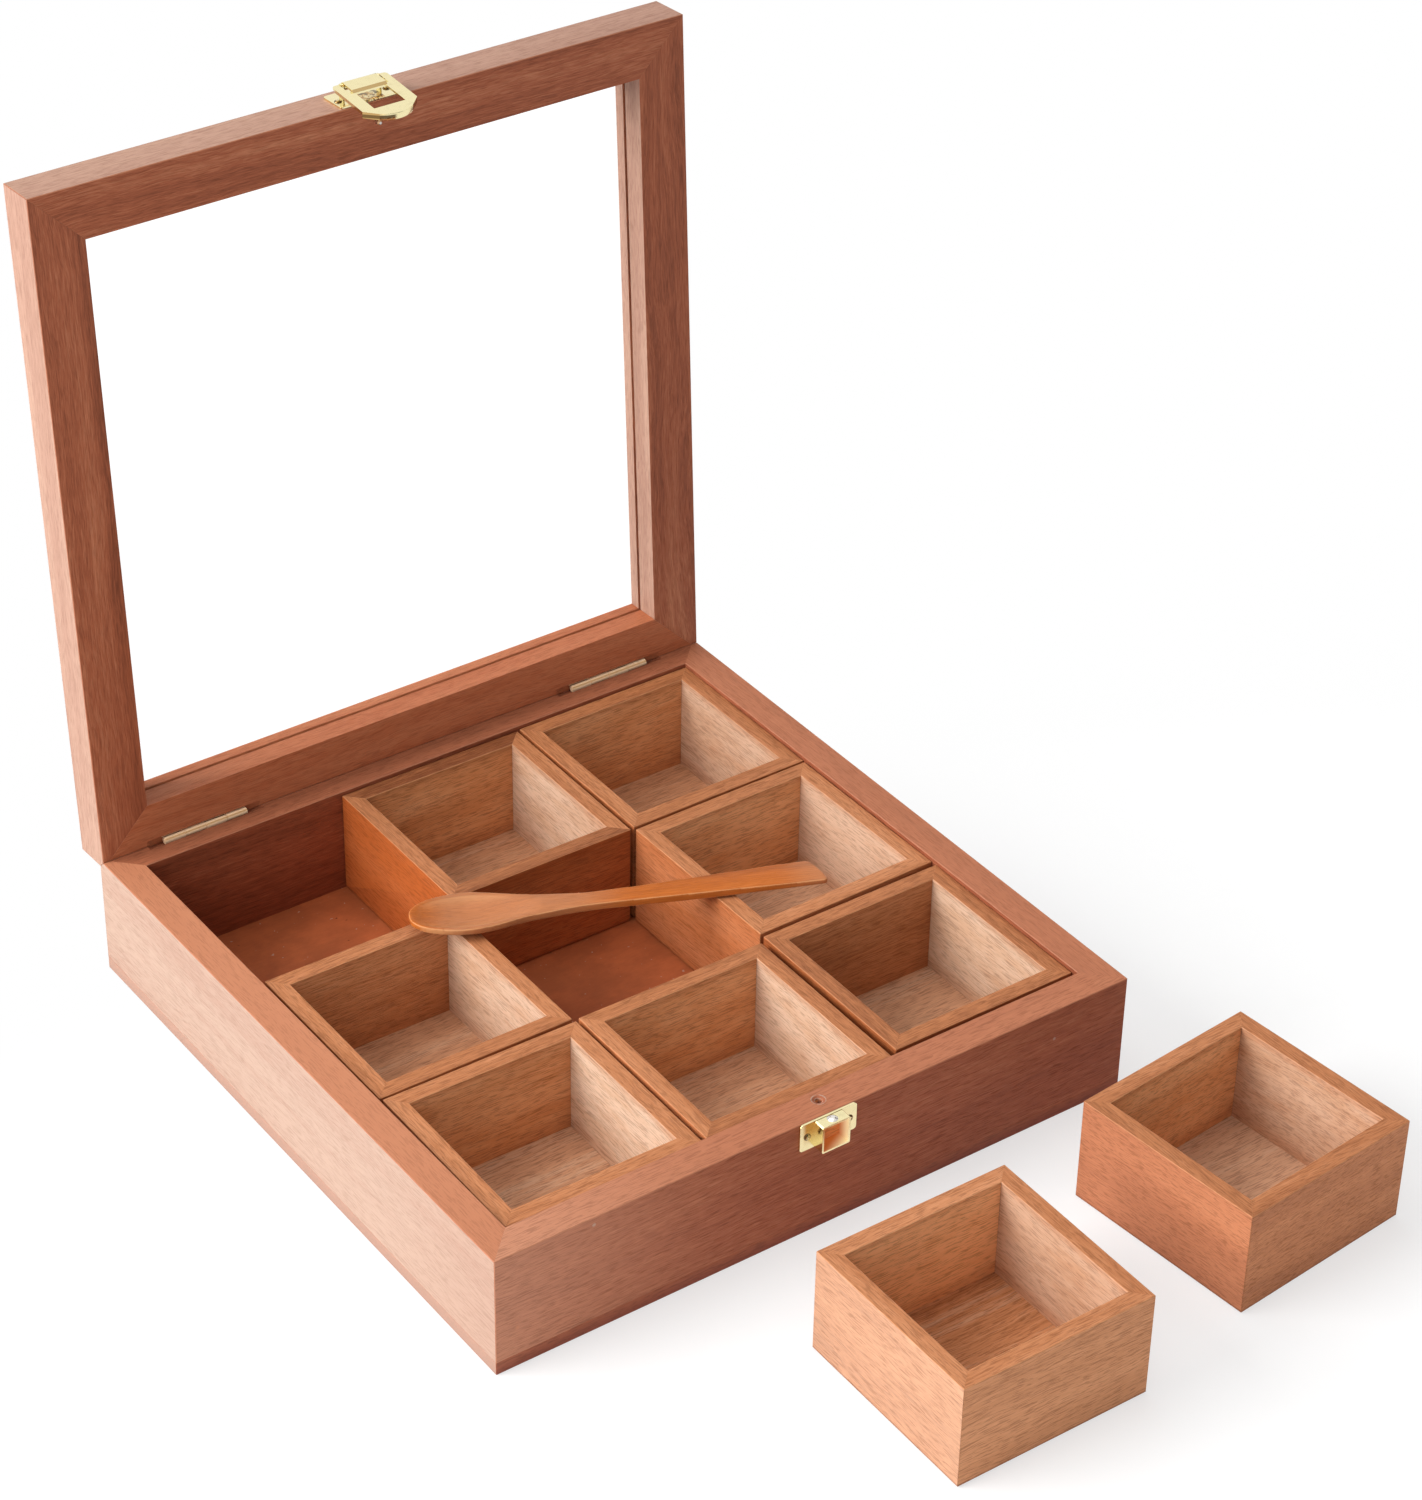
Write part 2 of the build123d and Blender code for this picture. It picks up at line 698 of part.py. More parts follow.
def section_places():
    """Where the sections stand, closer together at the nose, in the bowl and at the end's corners."""
    places = [bowl_widest_at * (1 - cos(radians(turn))) for turn in range(0, 90, 10)]
    corner_at = handle_end - handle_corner
    for start, end, steps in [(bowl_widest_at, neck_at, 14), (neck_at, grip_at, 5), (grip_at, corner_at, 3)]:
        places += [start + (end - start) * step / steps for step in range(steps)]
    return places + [corner_at + handle_corner * sin(radians(turn)) for turn in range(0, 91, 30)]


with BuildPart() as spoon:
    for at in section_places():
        slant = radians(handle_end_slant) * max(0, (at - grip_at) / (handle_end - grip_at))
        across = (-sin(slant), cos(slant), 0)
        section_plane = Plane((at, value_at(crook, at), 0), x_dir=across, z_dir=(cos(slant), sin(slant), 0))
        edge = half_width(at) / cos(slant)
        lip = edge * (1 - 2 * bowl_rim / bowl_width)
        foot_z = value_at(side_foot, at)
        rim_z = value_at(topside, at)
        if at < shoulder_at + bowl_rim:
            middle_z = rim_z - value_at(hollow_depth, at)
        else:
            middle_z = rim_z + handle_crown
        with BuildSketch(section_plane) as section:
            with BuildLine():
                ThreePointArc((-edge, foot_z), (0, value_at(underside, at)), (edge, foot_z))
                Polyline((edge, foot_z), (edge, rim_z), (lip, rim_z))
                ThreePointArc((lip, rim_z), (0, middle_z), (-lip, rim_z))
                Polyline((-lip, rim_z), (-edge, rim_z), (-edge, foot_z))
            make_face()
    loft(ruled=True)

spoon_place = Location((spoon_tip_x, spoon_tip_y, cup_rim_z + spoon_rest_gap), (0, 0, spoon_turn))

save(case_bottom_panel.part, "case_bottom_panel")
save(case_front_wall.part, "case_front_wall")
save(case_right_wall.part, "case_right_wall")
save(case_left_wall.part, "case_left_wall")
save(case_back_wall.part, "case_back_wall")
save(lid_front_rail.part, "lid_front_rail", lid_place)
save(lid_right_stile.part, "lid_right_stile", lid_place)
save(lid_left_stile.part, "lid_left_stile", lid_place)
save(lid_back_rail.part, "lid_back_rail", lid_place)
save(lid_glass.part, "lid_glass", lid_place)
save(lid_locating_pin.part, "lid_locating_pin", lid_place)
save(catch_keeper.part, "catch_keeper")
save(catch_keeper_nails.part, "catch_keeper_nails")
save(catch_base_plate.part, "catch_base_plate", lid_place)
save(catch_base_nails.part, "catch_base_nails", lid_place)
save(catch_pin.part, "catch_pin", lid_place)
save(catch_hasp.part, "catch_hasp", hasp_place)
save(spoon.part, "spoon", spoon_place)
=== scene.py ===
import json
from math import cos, radians, sin
from typing import NamedTuple

import bpy
from mathutils import Matrix, Vector


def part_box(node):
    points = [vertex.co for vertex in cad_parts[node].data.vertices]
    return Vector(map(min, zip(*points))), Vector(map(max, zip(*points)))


bl_info = {
    "name": "Wooden Spice Box",
    "version": (1, 0, 0),
    "blender": (4, 5, 0),
    "location": "View3D > Sidebar > Spice Box",
    "description": "Finishes, marks and studio for a wooden spice box with loose cups and a glass lid",
    "category": "Object",
}

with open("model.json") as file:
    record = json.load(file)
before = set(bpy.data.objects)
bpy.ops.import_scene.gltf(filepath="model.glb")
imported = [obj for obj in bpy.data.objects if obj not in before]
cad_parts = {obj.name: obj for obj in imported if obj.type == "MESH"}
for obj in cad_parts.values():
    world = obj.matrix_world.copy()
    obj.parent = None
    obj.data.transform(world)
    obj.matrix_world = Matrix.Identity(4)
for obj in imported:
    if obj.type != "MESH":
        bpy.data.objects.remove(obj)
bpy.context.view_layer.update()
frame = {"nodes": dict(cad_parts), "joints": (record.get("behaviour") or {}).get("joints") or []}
nodes = frame["nodes"]

MM = 0.001
RIGHT = Vector((1, 0, 0))
BACK = Vector((0, 1, 0))
UP = Vector((0, 0, 1))

# The case's front face, and places on the pieces at rest, in metres.
CASE_FRONT = -0.125
SNAP_BUMP = Vector((0.0008, -0.1276, 0.0463))
BUMP_CURL = SNAP_BUMP + Vector((0.0009, -0.0009, 0.0002))
LOCATING_HOLE = Vector((0.0024, -0.118, 0.0464))
PLATE_UNDER_HASP = Vector((0.0008, 0.139, 0.2932))

# The catch, in millimetres: its middle line, the middle height, half sizes and reach of the keeper's
# block, the plate left of the block, and half the room between the hasp's side rails.
CATCH_MIDDLE = 0.8
BLOCK_HEIGHT = 40.7
BLOCK_HALF_WIDTH = 4.6
BLOCK_INSIDE = (4.9, 4.7)
BLOCK_REACH = 6.0
PLATE_LEFT = -6.5
RAIL_ROOM = 5.6

# Silver light on the snap bump, and white.
SILVER = (0.8, 0.77, 0.74)
WHITE = (1, 1, 1, 1)

# The middle of the soft shadow on the floor, and the light that the pane takes away.
SHADOW_MIDDLE = Vector((0.04, -0.06, 0))
PANE_LOSS = 0.12

# How far out a cup's outer sides are, and how far in its inner ones, at the least, in metres.
CUP_SIDE = (0.012, 0.02)

# Where the oiled rim ends and where the walls start to darken towards the floor inside a cup, in millimetres
# under its rim.
OILED_RIM = (0.8, 3.6)
DARKER_NEAR_FLOOR = (31.0, 35.5)

# How far the spoon lies turned from the X axis.
SPOON_TURN = radians(-21.6)

# Turns of noise per millimetre along, across and through the grain.
WANDER = (0.007, 0.022, 0.022)
RIPPLE = (0.06, 0.05, 0.05)
BAND_LENGTH = 0.0035
STREAKS = (0.015, 0.8, 0.8)
FIBRES = (0.13, 2.1, 2.1)
PORES = (0.18, 2.5, 2.5)

# How far the grain's lines wander through a board for each millimetre that they wander across it.
WANDER_THROUGH = 0.6

# A board's middle lightness, and how much its streaks and fibres add to that.
GROUND_LEVEL = 0.23
STREAK_LEVEL = 0.14
FIBRE_LEVEL = 0.4

# Widths of the edges that sanding and polishing round, in metres.
SANDED = 0.15 * MM
BUFFED = 0.08 * MM


class CupLook(NamedTuple):
    """How one cup differs from the others, each as a share but for its tone."""

    tone: float
    end_tone: float
    # Share of painted light that makes the outer sides paler, most on the side that faces the light.
    painted_light: float
    ruddy: float
    bare_ends: float
    bare_sides: float
    pale_base: float


# Tone, tone of the ends, painted light on the outer sides, ruddy, bare ends, bare sides and pale base.
CUPS = {
    "front_left_cup": CupLook(0.02, 0.02, 0.1, 0.3, 0.6, 0.9, 0.25),
    "front_middle_cup": CupLook(-0.01, -0.01, 0.0, 0.3, 0.75, 0.85, 0.25),
    "front_right_cup": CupLook(-0.05, -0.05, 0.0, 0.3, 0.14, 0.85, 0.25),
    "middle_left_cup": CupLook(0.01, 0.0, 0.0, 0.3, 0.3, 0.78, 0.2),
    "middle_right_cup": CupLook(0.07, 0.05, 0.0, 0.32, 0.8, 0.68, 0.3),
    "back_middle_cup": CupLook(0.01, -0.09, 0.0, 0.7, 0.75, 0.78, 0.15),
    "back_right_cup": CupLook(-0.01, -0.01, 0.0, 0.3, 0.7, 0.66, 0.15),
    "near_loose_cup": CupLook(0.03, 0.1, 0.45, 0.03, 1.0, 0.58, 0.0),
    "far_loose_cup": CupLook(-0.01, -0.02, 0.35, 0.42, 0.9, 0.56, 0.4),
}


def colour(code):
    """The scene colour of a screen colour written as six hexadecimal digits."""
    parts = [int(code[start:start + 2], 16) / 255 for start in (0, 2, 4)]
    return tuple(part / 12.92 if part <= 0.04045 else ((part + 0.055) / 1.055) ** 2.4 for part in parts)


def colour_property(name, description, code):
    """A colour that a user can change."""
    return bpy.props.FloatVectorProperty(
        name=name, description=description, default=colour(code), subtype="COLOR", size=3, min=0, max=1
    )


class CaseTimber(bpy.types.PropertyGroup):
    """The red-brown hardwood of the case and the lid."""

    light: colour_property("Light", "Colour between the growth bands", "BE7D5B")
    middle: colour_property("Middle", "Main colour of the oiled wood", "9D573A")
    dark: colour_property("Dark", "Colour of the dark streaks", "6C3722")
    pore: colour_property("Pores", "Colour of the pores", "4A2315")
    edge: colour_property("Worn edge", "Colour where the edges are rubbed", "B87E60")
    # Pale is painted light on the sides that face the light, and also the real colour of pale specks, filled
    # nail holes and the rubbed ring round the locating hole.
    pale: colour_property("Pale", "Colour of the sides that have faded", "B59C8B")
    # The next colour is painted light, laid on the front wall towards its left end, which is nearer the
    # window light.
    painted_left_light: colour_property("Left_end_light", "Colour towards the left end of the front", "D8A88C")
    floor: colour_property("Bottom", "Colour of the smooth bottom panel", "BE673B")
    foot: colour_property("Foot", "Colour of the bottom panel's edge", "8A4630")


class CupTimber(bpy.types.PropertyGroup):
    """The orange-tan hardwood of the cups."""

    light: colour_property("Light", "Colour between the growth bands", "CC8C62")
    middle: colour_property("Middle", "Main colour of the oiled wood", "B27147")
    dark: colour_property("Dark", "Colour of the dark streaks", "7C4526")
    ruddy: colour_property("Ruddy", "Colour where the oil has turned the wood orange", "BE5A1C")
    pore: colour_property("Pores", "Colour of the pores", "5A2F18")
    edge: colour_property("Worn edge", "Colour where the edges are rubbed", "C48A60")
    inside: colour_property("Inside", "Colour of the bare wood inside", "D3AE8F")
    bright: colour_property("Bright inside", "Palest places of the bare wood", "E0C5AC")
    amber: colour_property("End inside", "Colour of the bare end walls inside", "DF9C67")
    honey: colour_property("Bright end inside", "Palest places of the bare end walls", "F2B886")
    stain: colour_property("Stain", "Colour of the stains inside", "A4693E")
    floor: colour_property("Base", "Colour of the open-pored base", "C88A5E")


class SpoonTimber(bpy.types.PropertyGroup):
    """The golden-brown wood of the spoon."""

    light: colour_property("Light", "Colour between the growth bands", "C8722F")
    middle: colour_property("Middle", "Main colour of the oiled wood", "B35E1F")
    dark: colour_property("Dark", "Colour of the dark streaks", "8A4416")
    pore: colour_property("Pores", "Colour of the pores", "6B3614")
    edge: colour_property("Worn edge", "Colour of the thin rim", "DCA472")
    bowl: colour_property("Bowl", "Colour where the bowl has dulled", "B48E70")


class Metalwork(bpy.types.PropertyGroup):
    """The brass hinges and catch and the steel pins."""

    polished: colour_property("Polished brass", "Colour of the catch", "F3E6B4")
    ember: colour_property("Ember", "Orange light inside the keeper", "B3642F")
    # The next colour is a painted glow, laid on the wood that shows through the keeper's block.
    painted_block_glow: colour_property("Blaze", "Wood that shows through the keeper's block", "E89A60")
    # The next colour is a painted reflection, laid along the edges and in the reflections painted on the
    # catch.
    deep: colour_property("Deep gold", "Colour along the edges and inside the folds", "B9802A")
    dull: colour_property("Dull brass", "Colour of the hinges", "FFDDB4")
    tarnish: colour_property("Tarnish", "Colour where the brass has dulled", "8F7440")
    shade: colour_property("Shade", "Colour of the dark reflections", "4A3014")
    steel: colour_property("Steel", "Colour of the pins", "CFCAC4")


class Glazing(bpy.types.PropertyGroup):
    """The pane in the lid."""

    tint: colour_property("Tint", "Colour of the glass", "FEFFFF")


class PhotoView(bpy.types.PropertyGroup):
    """The camera that took the photograph."""

    width: bpy.props.IntProperty(
        name="Width", description="Photograph's width", default=1422, subtype="PIXEL"
    )
    height: bpy.props.IntProperty(
        name="Height", description="Photograph's height", default=1500, subtype="PIXEL"
    )
    focal_length: bpy.props.FloatProperty(
        name="Focal length", description="Focal length in the photograph's pixels", default=4014.59
    )
    centre: bpy.props.FloatVectorProperty(
        name="Centre",
        description="Where the lens axis meets the photograph, in pixels",
        default=(640.75, 761.31),
        size=2,
    )
    place: bpy.props.FloatVectorProperty(
        name="Place",
        description="Where the camera stood",
        default=(-0.61042, -0.89877, 0.86019),
        unit="LENGTH",
        size=3,
    )
    yaw: bpy.props.FloatProperty(
        name="Yaw", description="Turn to the left from straight back", default=radians(-34.817),
        subtype="ANGLE",
    )
    pitch: bpy.props.FloatProperty(
        name="Pitch", description="Tilt above the horizon", default=radians(-34.597), subtype="ANGLE"
    )
    roll: bpy.props.FloatProperty(
        name="Roll", description="Turn about the lens axis", default=radians(0.404), subtype="ANGLE"
    )


class Studio(bpy.types.PropertyGroup):
    """The floor and the lights."""

    key_power: bpy.props.FloatProperty(
        name="Key", description="Power of the soft window light on the left", default=62.0, unit="POWER"
    )
    top_power: bpy.props.FloatProperty(
        name="Top", description="Power of the soft light above", default=14.0, unit="POWER"
    )
    near_power: bpy.props.FloatProperty(
        name="Near", description="Power of the small light beside the camera", default=3.0, unit="POWER"
    )
    fill: bpy.props.FloatProperty(
        name="Fill", description="Level of the light from all sides", default=0.45, min=0
    )
    gloom: bpy.props.FloatProperty(
        name="Dark room",
        description="How dark the room behind the camera looks in reflections",
        default=0.8,
        subtype="FACTOR",
    )
    floor_size: bpy.props.FloatProperty(
        name="Floor", description="Side of the floor", default=8.0, unit="LENGTH"
    )
    floor_white: bpy.props.FloatProperty(
        name="Paper white",
        description="Share of plain white that shows in the floor round the object",
        default=0.6,
        subtype="FACTOR",
    )


class Reading:
    """A number inside a material. Sums with readings add the Math nodes that work them out."""

    def __init__(self, finish, socket):
        self.finish = finish
        self.socket = socket

    def __add__(self, other):
        return self.finish.maths("ADD", self, other)

    def __radd__(self, other):
        return self.finish.maths("ADD", other, self)

    def __sub__(self, other):
        return self.finish.maths("SUBTRACT", self, other)

    def __rsub__(self, other):
        return self.finish.maths("SUBTRACT", other, self)

    def __mul__(self, other):
        return self.finish.maths("MULTIPLY", self, other)

    def __truediv__(self, other):
        return self.finish.maths("DIVIDE", self, other)

    def __abs__(self):
        return self.finish.maths("ABSOLUTE", self)

    def __lt__(self, other):
        return self.finish.maths("LESS_THAN", self, other)


class Finish:
    """A material that is being made up."""

    def __init__(self, name, tree=None):
        if tree is None:
            self.material = bpy.data.materials.new(name)
            self.material.use_nodes = True
            tree = self.material.node_tree
        self.tree = tree
        self.tree.nodes.clear()
        self.coordinates = self.node("ShaderNodeTexCoord")
        self.place = self.coordinates.outputs["Object"]
        self.facing = self.coordinates.outputs["Normal"]

    def node(self, kind, sockets=None, settings=None):
        """Add a node with its settings and the values or links of its sockets."""
        added = self.tree.nodes.new(kind)
        for setting, value in (settings or {}).items():
            if setting == "stops":
                self.set_stops(added.color_ramp.elements, value)
            else:
                setattr(added, setting, value)
        for socket_name, value in (sockets or {}).items():
            if isinstance(value, Reading):
                value = value.socket
            if isinstance(value, bpy.types.NodeSocket):
                self.tree.links.new(value, added.inputs[socket_name])
            else:
                added.inputs[socket_name].default_value = value
        return added

    @staticmethod
    def set_stops(elements, stops):
        """Give a colour ramp its stops, each a place and a colour."""
        while len(elements) < len(stops):
            elements.new(1)
        for element, (place, shade) in zip(elements, stops):
            element.position = place
            element.color = (*shade[:3], 1)

    def maths(self, operation, *values):
        """One Math node on readings or plain numbers."""
        sums = self.node("ShaderNodeMath", dict(enumerate(values)), {"operation": operation})
        return Reading(self, sums.outputs[0])

    def vector(self, operation, first, second):
        """One Vector Math node."""
        return self.node("ShaderNodeVectorMath", {0: first, 1: second}, {"operation": operation})

    def dot(self, first, second):
        return Reading(self, self.vector("DOT_PRODUCT", first, second).outputs["Value"])

    def distance(self, first, second):
        return Reading(self, self.vector("DISTANCE", first, second).outputs["Value"])

    def combine(self, x, y, z):
        return self.node("ShaderNodeCombineXYZ", {"X": x, "Y": y, "Z": z}).outputs[0]

    def noise(self, place, scale, detail=2.0, roughness=0.5, distortion=0.0):
        """Noise with its own fineness in each direction, from 0 to 1 with 0.5 as its middle."""
        sockets = {
            "Vector": self.vector("MULTIPLY", place, scale).outputs[0],
            "Scale": 1,
            "Detail": detail,
            "Roughness": roughness,
            "Distortion": distortion,
        }
        return Reading(self, self.node("ShaderNodeTexNoise", sockets).outputs["Fac"])

    def rise(self, value, low, high):
        """A smooth rise from 0 at one level to 1 at another."""
        sockets = {"Value": value, "From Min": low, "From Max": high}
        smooth = {"interpolation_type": "SMOOTHSTEP"}
        return Reading(self, self.node("ShaderNodeMapRange", sockets, smooth).outputs[0])

    def fall(self, value, low, high):
        """A smooth fall from 1 at one level to 0 at another."""
        return 1 - self.rise(value, low, high)

    def faces(self, direction, low=0.8, high=0.95):
        """1 on the faces that point one way and 0 on the others."""
        return self.rise(self.dot(self.facing, direction), low, high)

    def ramp(self, value, *stops):
        """A colour for each level of a value."""
        return self.node("ShaderNodeValToRGB", {"Fac": value}, {"stops": stops}).outputs["Color"]

    def blend(self, share, first, second):
        """The first colour, with a share of the second over it."""
        sockets = {0: share, 6: self.opaque(first), 7: self.opaque(second)}
        return self.node("ShaderNodeMix", sockets, {"data_type": "RGBA"}).outputs[2]

    @staticmethod
    def opaque(shade):
        return shade if isinstance(shade, bpy.types.NodeSocket) else (*tuple(shade)[:3], 1)

    def surface(self, sockets, bump, strength, distance):
        """End the material in one Principled shader with a bump of some depth in metres."""
        bump_sockets = {"Height": bump, "Strength": strength, "Distance": distance}
        sockets = {**sockets, "Normal": self.node("ShaderNodeBump", bump_sockets).outputs[0]}
        return self.end_in(self.node("ShaderNodeBsdfPrincipled", sockets))

    def end_in(self, shader):
        """End the material in a shader."""
        self.node("ShaderNodeOutputMaterial", {"Surface": shader.outputs[0]})
        return self.material

    def grain_place(self, along, across, seed):
        """Millimetres along, across and through a board, shifted so that no two boards are alike."""
        axes = (along, across, along.cross(across))
        shifts = (137.0 * seed, 71.0 * seed, 53.0 * seed)
        return self.combine(*[self.dot(self.place, axis / MM) + shift for axis, shift in zip(axes, shifts)])

    def height(self):
        """Metres above the underside of the case."""
        return self.dot(self.place, UP)

    def eased_edges(self):
        """1 on the small slanted faces along the edges and 0 on the flat faces."""
        sizes = [abs(self.dot(self.facing, axis)) for axis in (RIGHT, BACK, UP)]
        flattest = self.maths("MAXIMUM", self.maths("MAXIMUM", sizes[0], sizes[1]), sizes[2])
        return self.fall(flattest, 0.76, 0.96)


def grain(finish, place, bend, band):
    """The figure of a board: broad bands, streaks, fibres and pores, as four readings."""
    wander = finish.noise(place, WANDER, detail=2) - 0.5
    ripple = finish.noise(place, RIPPLE, detail=1) - 0.5
    drift = wander * bend + ripple * 1.4
    bent = finish.vector("ADD", place, finish.combine(0, drift, drift * WANDER_THROUGH)).outputs[0]
    bands = finish.noise(bent, (BAND_LENGTH, band, band), detail=3, roughness=0.6)
    streaks = finish.noise(bent, STREAKS, detail=3, roughness=0.6)
    fibres = finish.noise(bent, FIBRES, detail=3, roughness=0.65)
    pores = finish.noise(bent, PORES, detail=2, roughness=0.5)
    return bands, streaks, fibres, finish.rise(pores, 0.5, 0.62)


def timber(
    name, look, along, across, seed, tone=0.0, pore_share=0.5, figure=0.46, bend=7.0, band=0.09,
    roughness=0.5, rim=0.0, extra=None
):
    """An oiled board whose grain runs one way.

    tone makes it lighter or darker, figure and bend set how strong and how wavy its bands are, and
    rim is how much painted light lightens its upper face. extra(finish, colour, level) may lay more over its
    colour.
    """
    finish = Finish(name)
    place = finish.grain_place(along, across, seed)
    bands, streaks, fibres, pores = grain(finish, place, bend, band)
    level = (bands - 0.5) * figure + streaks * STREAK_LEVEL + fibres * FIBRE_LEVEL + (GROUND_LEVEL + tone)
    wood = finish.ramp(level, (0.3, look.dark), (0.5, look.middle), (0.7, look.light))
    # Painted light: the upper faces are painted lighter, as the top light falls on them.
    wood = finish.blend(finish.faces(UP, 0.9, 0.98) * rim, wood, look.light)
    if extra is not None:
        wood = extra(finish, wood, level)
    wood = finish.blend(pores * pore_share, wood, finish.blend(0.45, look.pore, wood))
    wood = finish.blend(finish.eased_edges() * 0.55, wood, look.edge)
    relief = fibres * 0.35 - pores * 0.8
    gloss = roughness + pores * 0.15 + (streaks - 0.5) * 0.12
    sockets = {"Base Color": wood, "Roughness": gloss, "Specular IOR Level": 0.22}
    return finish.surface(sockets, relief, strength=0.35, distance=0.12 * MM)


def painted_light(look, direction, share=0.85):
    """Painted light: wood painted paler on the side that faces one way, where the light falls, with its grain
    still showing.
    """

    def lay(finish, wood, level):
        streak = finish.blend(0.3, look.pale, look.middle)
        pale = finish.blend(finish.rise(level, 0.35, 0.6), streak, look.pale)
        return finish.blend(finish.faces(direction) * share, wood, pale)

    return lay


def give(node_name, material):
    """Put one finish on a whole CAD piece."""
    slots = nodes[node_name].data.materials
    slots.clear()
    slots.append(material)


def join_skin(piece):
    """Join a CAD mesh's separate faces into one skin that can be rounded or smoothed."""
    weld = piece.modifiers.new("One skin", "WELD")
    weld.merge_threshold = 0.01 * MM


def soften(node_name, width):
    """Round a CAD piece's sharp edges by a hair, as sanding or polishing does."""
    piece = nodes[node_name]
    join_skin(piece)
    bevel = piece.modifiers.new("Soft edges", "BEVEL")
    bevel.width = width
    bevel.segments = 2
    bevel.limit_method = "ANGLE"
    bevel.angle_limit = radians(30)
    bevel.harden_normals = True


def open_angle():
    """How far the lid stands open, from the limits of its hinge."""
    hinge = next(joint for joint in frame["joints"] if joint["name"] == "lid_hinge")
    return radians(-hinge["range_deg"][0])


class SPICEBOX_OT_camera(bpy.types.Operator):
    """Set the camera where the photograph was taken"""

    bl_idname = "spicebox.camera"
    bl_label = "Camera"

    def execute(self, context):
        look = context.scene.spice_box_view
        camera = bpy.data.objects.new("photo_camera", bpy.data.cameras.new("photo_camera"))
        context.scene.collection.objects.link(camera)
        ahead = Vector((-sin(look.yaw), cos(look.yaw), 0))
        forward = ahead * cos(look.pitch) + UP * sin(look.pitch)
        level = Vector((cos(look.yaw), sin(look.yaw), 0))
        upright = level.cross(forward)
        side = level * cos(look.roll) + upright * sin(look.roll)
        top = upright * cos(look.roll) - level * sin(look.roll)
        turn = Matrix((side, top, -forward)).transposed().to_4x4()
        camera.matrix_world = Matrix.Translation(Vector(look.place)) @ turn
        camera.data.sensor_width = 36
        camera.data.lens = camera.data.sensor_width * look.focal_length / look.height
        camera.data.shift_x = (look.width / 2 - look.centre[0]) / look.height
        camera.data.shift_y = (look.centre[1] - look.height / 2) / look.height
        camera.data.clip_start = 0.05
        camera.data.clip_end = 50
        context.scene.camera = camera
        return {"FINISHED"}


def background_rays(finish):
    """1 for what the eye, a reflection or a pane sees, and 0 for the rays that light the object."""
    path = finish.node("ShaderNodeLightPath")
    seen = Reading(finish, path.outputs["Is Camera Ray"])
    mirrored = Reading(finish, path.outputs["Is Glossy Ray"])
    through_glass = Reading(finish, path.outputs["Is Transmission Ray"])
    return finish.maths("MAXIMUM", finish.maths("MAXIMUM", seen, mirrored), through_glass)


def soft_light(name, place, size, power):
    """A large square lamp that faces the box."""
    box_middle = Vector((0, 0, 0.08))
    lamp = bpy.data.objects.new(name, bpy.data.lights.new(name, "AREA"))
    bpy.context.scene.collection.objects.link(lamp)
    lamp.data.shape = "SQUARE"
    lamp.data.size = size
    lamp.data.energy = power
    turn = (box_middle - place).to_track_quat("-Z", "Y").to_matrix().to_4x4()
    lamp.matrix_world = Matrix.Translation(place) @ turn
    lamp.visible_camera = False


class SPICEBOX_OT_stage(bpy.types.Operator):
    """Lay the white floor and hang the soft lights"""

    bl_idname = "spicebox.stage"
    bl_label = "Floor and lights"

    def execute(self, context):
        studio = context.scene.spice_box_studio
        half_floor = studio.floor_size / 2
        mesh = bpy.data.meshes.new("paper_floor")
        corners = [(x * half_floor, y * half_floor, 0) for x, y in ((-1, -1), (1, -1), (1, 1), (-1, 1))]
        mesh.from_pydata(corners, [], [(0, 1, 2, 3)])
        floor = bpy.data.objects.new("paper_floor", mesh)
        context.scene.collection.objects.link(floor)
        floor.location.z = -0.02 * MM
        mesh.materials.append(self.paper(studio))
        self.light_world(context, studio)
        soft_light("window_light", Vector((-1.8, 0.5, 1.15)), size=1.4, power=studio.key_power)
        soft_light("top_light", Vector((-0.3, 0.5, 2.2)), size=1.8, power=studio.top_power)
        soft_light("near_light", Vector((-0.95, -1.2, 0.55)), size=0.8, power=studio.near_power)
        context.scene.view_settings.view_transform = "Standard"
        return {"FINISHED"}

    @staticmethod
    def paper(studio):
        """White paper that shows as the white background but keeps the object's soft shadow."""
        finish = Finish("white_paper")
        tooth = finish.noise(finish.place, (90, 90, 90), detail=3)
        paper = finish.ramp(tooth, (0.0, colour("FAFAFA")), (1.0, colour("FEFEFE")))
        matt = finish.node("ShaderNodeBsdfDiffuse", {"Color": paper})
        through_pane = Reading(finish, finish.node("ShaderNodeLightPath").outputs["Is Transmission Ray"])
        white = finish.node("ShaderNodeEmission", {"Color": WHITE, "Strength": 1 + through_pane * PANE_LOSS})
        behind = finish.rise(finish.dot(finish.place, BACK), -0.14, 0.12)
        near = finish.fall(finish.distance(finish.place, SHADOW_MIDDLE), 0.27, 0.45)
        shaded = (1 - behind) * near
        whiteness = 1 - shaded * (1 - studio.floor_white)
        sockets = {0: background_rays(finish) * whiteness, 1: matt.outputs[0], 2: white.outputs[0]}
        return finish.end_in(finish.node("ShaderNodeMixShader", sockets))

    @staticmethod
    def light_world(context, studio):
        """Even light from all sides, white to the eye, with a darker room to be mirrored in the brass."""
        world = bpy.data.worlds.new("white_room")
        world.use_nodes = True
        context.scene.world = world
        finish = Finish("white_room", world.node_tree)
        seen = background_rays(finish)
        mirrored = Reading(finish, finish.node("ShaderNodeLightPath").outputs["Is Glossy Ray"])
        near_camera = finish.dot(finish.coordinates.outputs["Generated"], Vector((0.45, -0.89, -0.05)))
        gloom = mirrored * finish.rise(near_camera, 0.1, 0.95) * studio.gloom
        strength = seen * (1 - gloom) + (1 - seen) * studio.fill
        background = finish.node("ShaderNodeBackground", {"Color": WHITE, "Strength": strength})
        finish.node("ShaderNodeOutputWorld", {"Surface": background.outputs[0]})


